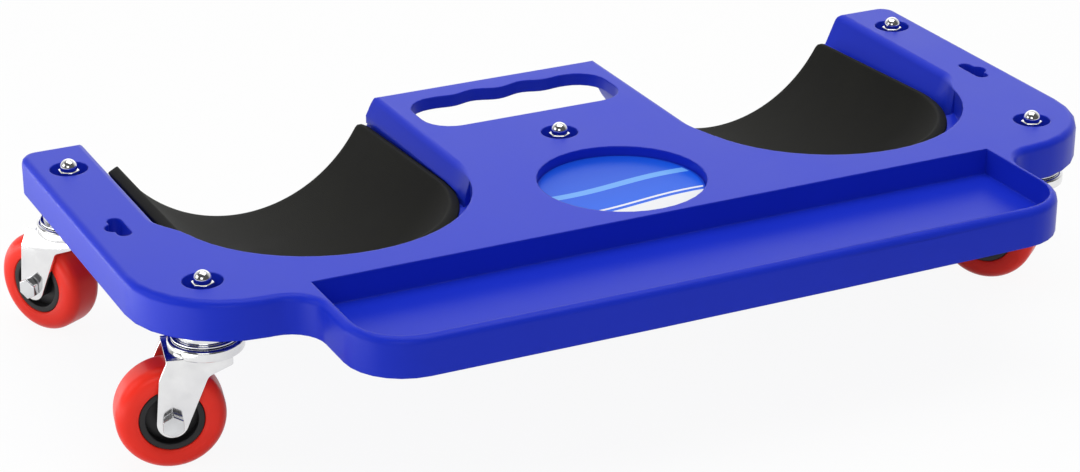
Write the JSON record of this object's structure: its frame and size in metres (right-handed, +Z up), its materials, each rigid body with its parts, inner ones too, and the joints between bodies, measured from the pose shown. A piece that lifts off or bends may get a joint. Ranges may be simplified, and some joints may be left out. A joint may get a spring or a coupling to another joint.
{
  "type": "rolling knee creeper",
  "caption": "Rolling knee creeper: moulded blue plastic deck with two foam-lined knee troughs, a carry handle and a tool tray, on swivel casters with red tyres.",
  "frame": {"origin": "middle of the footprint, on the floor the wheels stand on", "axes": "+X along the length, to the user's right when kneeling in the troughs and facing the tool tray; +Y toward the back, where the shins leave the troughs; +Z up"},
  "size_m": [0.7154, 0.4014, 0.128],
  "materials": {
    "blue_moulding": "satin cobalt blue moulding",
    "black_foam": "matt black closed-cell foam sheet",
    "label_print": null,
    "chrome_nut": "bright plated acorn nut",
    "zinc_washer": "zinc-plated washer",
    "zinc_stem": "zinc-plated threaded stem",
    "chrome_race_cap": "bright plated race cap",
    "chrome_fork": "bright plated stamped fork",
    "zinc_axle": "zinc-plated hex bolt and nut",
    "steel_bush": "plain steel tube",
    "black_hub": "black moulded wheel centre",
    "red_tyre": "smooth red elastic tyre"
  },
  "bodies": {
    "base": {"deck_shell": "blue_moulding", "knee_pad_left": "black_foam", "knee_pad_right": "black_foam", "label_disc": "label_print", "acorn_nut_front_left": "chrome_nut", "washer_front_left": "zinc_washer", "stem_front_left": "zinc_stem", "race_cap_front_left": "chrome_race_cap", "acorn_nut_front_right": "chrome_nut", "washer_front_right": "zinc_washer", "stem_front_right": "zinc_stem", "race_cap_front_right": "chrome_race_cap", "acorn_nut_rear_left": "chrome_nut", "washer_rear_left": "zinc_washer", "stem_rear_left": "zinc_stem", "race_cap_rear_left": "chrome_race_cap", "acorn_nut_rear_right": "chrome_nut", "washer_rear_right": "zinc_washer", "stem_rear_right": "zinc_stem", "race_cap_rear_right": "chrome_race_cap", "acorn_nut_centre": "chrome_nut", "washer_centre": "zinc_washer", "stem_centre": "zinc_stem", "race_cap_centre": "chrome_race_cap"},
    "swivel_front_left": {"fork_front_left": "chrome_fork", "axle_bolt_front_left": "zinc_axle", "axle_nut_front_left": "zinc_axle", "axle_bush_front_left": "steel_bush"},
    "wheel_front_left": {"hub_front_left": "black_hub", "tyre_front_left": "red_tyre"},
    "swivel_front_right": {"fork_front_right": "chrome_fork", "axle_bolt_front_right": "zinc_axle", "axle_nut_front_right": "zinc_axle", "axle_bush_front_right": "steel_bush"},
    "wheel_front_right": {"hub_front_right": "black_hub", "tyre_front_right": "red_tyre"},
    "swivel_rear_left": {"fork_rear_left": "chrome_fork", "axle_bolt_rear_left": "zinc_axle", "axle_nut_rear_left": "zinc_axle", "axle_bush_rear_left": "steel_bush"},
    "wheel_rear_left": {"hub_rear_left": "black_hub", "tyre_rear_left": "red_tyre"},
    "swivel_rear_right": {"fork_rear_right": "chrome_fork", "axle_bolt_rear_right": "zinc_axle", "axle_nut_rear_right": "zinc_axle", "axle_bush_rear_right": "steel_bush"},
    "wheel_rear_right": {"hub_rear_right": "black_hub", "tyre_rear_right": "red_tyre"},
    "swivel_centre": {"fork_centre": "chrome_fork", "axle_bolt_centre": "zinc_axle", "axle_nut_centre": "zinc_axle", "axle_bush_centre": "steel_bush"},
    "wheel_centre": {"hub_centre": "black_hub", "tyre_centre": "red_tyre"}
  },
  "joints": [
    {"name": "caster_swivel_front_left", "type": "hinge", "parent": "base", "child": "swivel_front_left", "pos_m": [-0.29847, -0.06544, 0.08], "axis": [0, 0, 1], "continuous": true},
    {"name": "wheel_spin_front_left", "type": "hinge", "parent": "swivel_front_left", "child": "wheel_front_left", "pos_m": [-0.32244, -0.0599, 0.0347], "axis": [-0.225, -0.9744, 0], "continuous": true},
    {"name": "caster_swivel_front_right", "type": "hinge", "parent": "base", "child": "swivel_front_right", "pos_m": [0.31432, -0.06544, 0.08], "axis": [0, 0, 1], "continuous": true},
    {"name": "wheel_spin_front_right", "type": "hinge", "parent": "swivel_front_right", "child": "wheel_front_right", "pos_m": [0.2985, -0.04659, 0.0347], "axis": [-0.766, -0.6428, 0], "continuous": true},
    {"name": "caster_swivel_rear_left", "type": "hinge", "parent": "base", "child": "swivel_rear_left", "pos_m": [-0.31757, 0.14491, 0.08], "axis": [0, 0, 1], "continuous": true},
    {"name": "wheel_spin_rear_left", "type": "hinge", "parent": "swivel_rear_left", "child": "wheel_rear_left", "pos_m": [-0.32976, 0.16628, 0.0347], "axis": [-0.8686, -0.4955, 0], "continuous": true},
    {"name": "caster_swivel_rear_right", "type": "hinge", "parent": "base", "child": "swivel_rear_right", "pos_m": [0.33342, 0.14491, 0.08], "axis": [0, 0, 1], "continuous": true},
    {"name": "wheel_spin_rear_right", "type": "hinge", "parent": "swivel_rear_right", "child": "wheel_rear_right", "pos_m": [0.31931, 0.16506, 0.0347], "axis": [-0.8192, -0.5736, 0], "continuous": true},
    {"name": "caster_swivel_centre", "type": "hinge", "parent": "base", "child": "swivel_centre", "pos_m": [0.00792, 0.06011, 0.08], "axis": [0, 0, 1], "continuous": true},
    {"name": "wheel_spin_centre", "type": "hinge", "parent": "swivel_centre", "child": "wheel_centre", "pos_m": [-0.01092, 0.07592, 0.0347], "axis": [-0.6428, -0.766, 0], "continuous": true}
  ]
}
